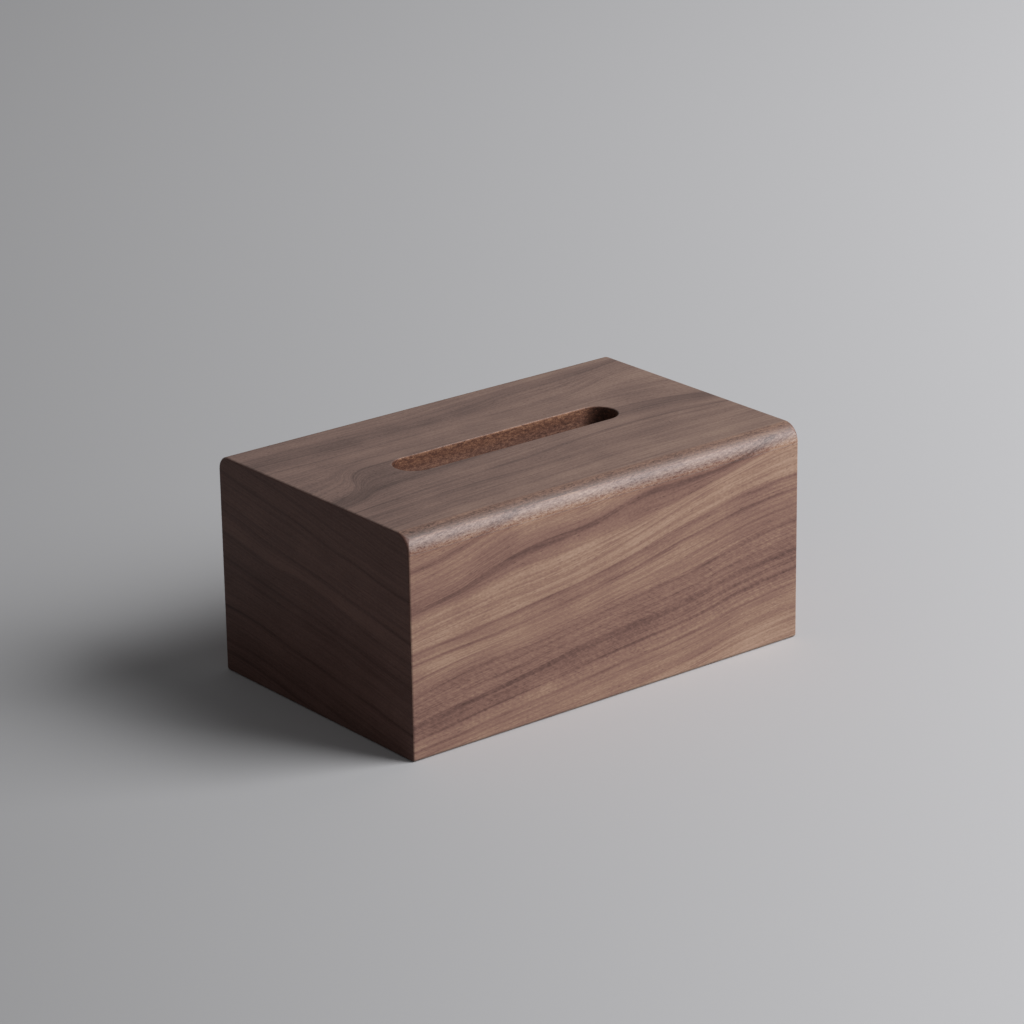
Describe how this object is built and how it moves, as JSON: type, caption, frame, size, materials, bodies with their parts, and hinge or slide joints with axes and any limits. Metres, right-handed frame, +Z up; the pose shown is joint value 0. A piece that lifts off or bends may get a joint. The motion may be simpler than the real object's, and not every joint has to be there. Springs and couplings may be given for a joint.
{
  "type": "wooden tissue box",
  "caption": "Rectangular wooden tissue box of mitred boards, with rounded long top edges, a round-ended dispensing slot in the top and a base that slides out for refilling.",
  "frame": {"origin": "middle of the underside, where the box rests on a table", "axes": "+X along the length, towards the end where the base slides out; the front face is at -Y; +Z up"},
  "size_m": [0.215, 0.135, 0.1],
  "materials": {
    "walnut_boards": "oiled walnut, low sheen, open pores",
    "walnut_base": "sanded walnut, unpolished"
  },
  "bodies": {
    "case": {"top_panel": "walnut_boards", "front_panel": "walnut_boards", "back_panel": "walnut_boards", "left_end_panel": "walnut_boards", "right_end_panel": "walnut_boards"},
    "sliding_base": {"base_panel": "walnut_base", "base_end_strip": "walnut_boards"}
  },
  "joints": [
    {"name": "base_slide", "type": "slide", "parent": "case", "child": "sliding_base", "axis": [1, 0, 0], "range_m": [0, 0.195]}
  ]
}
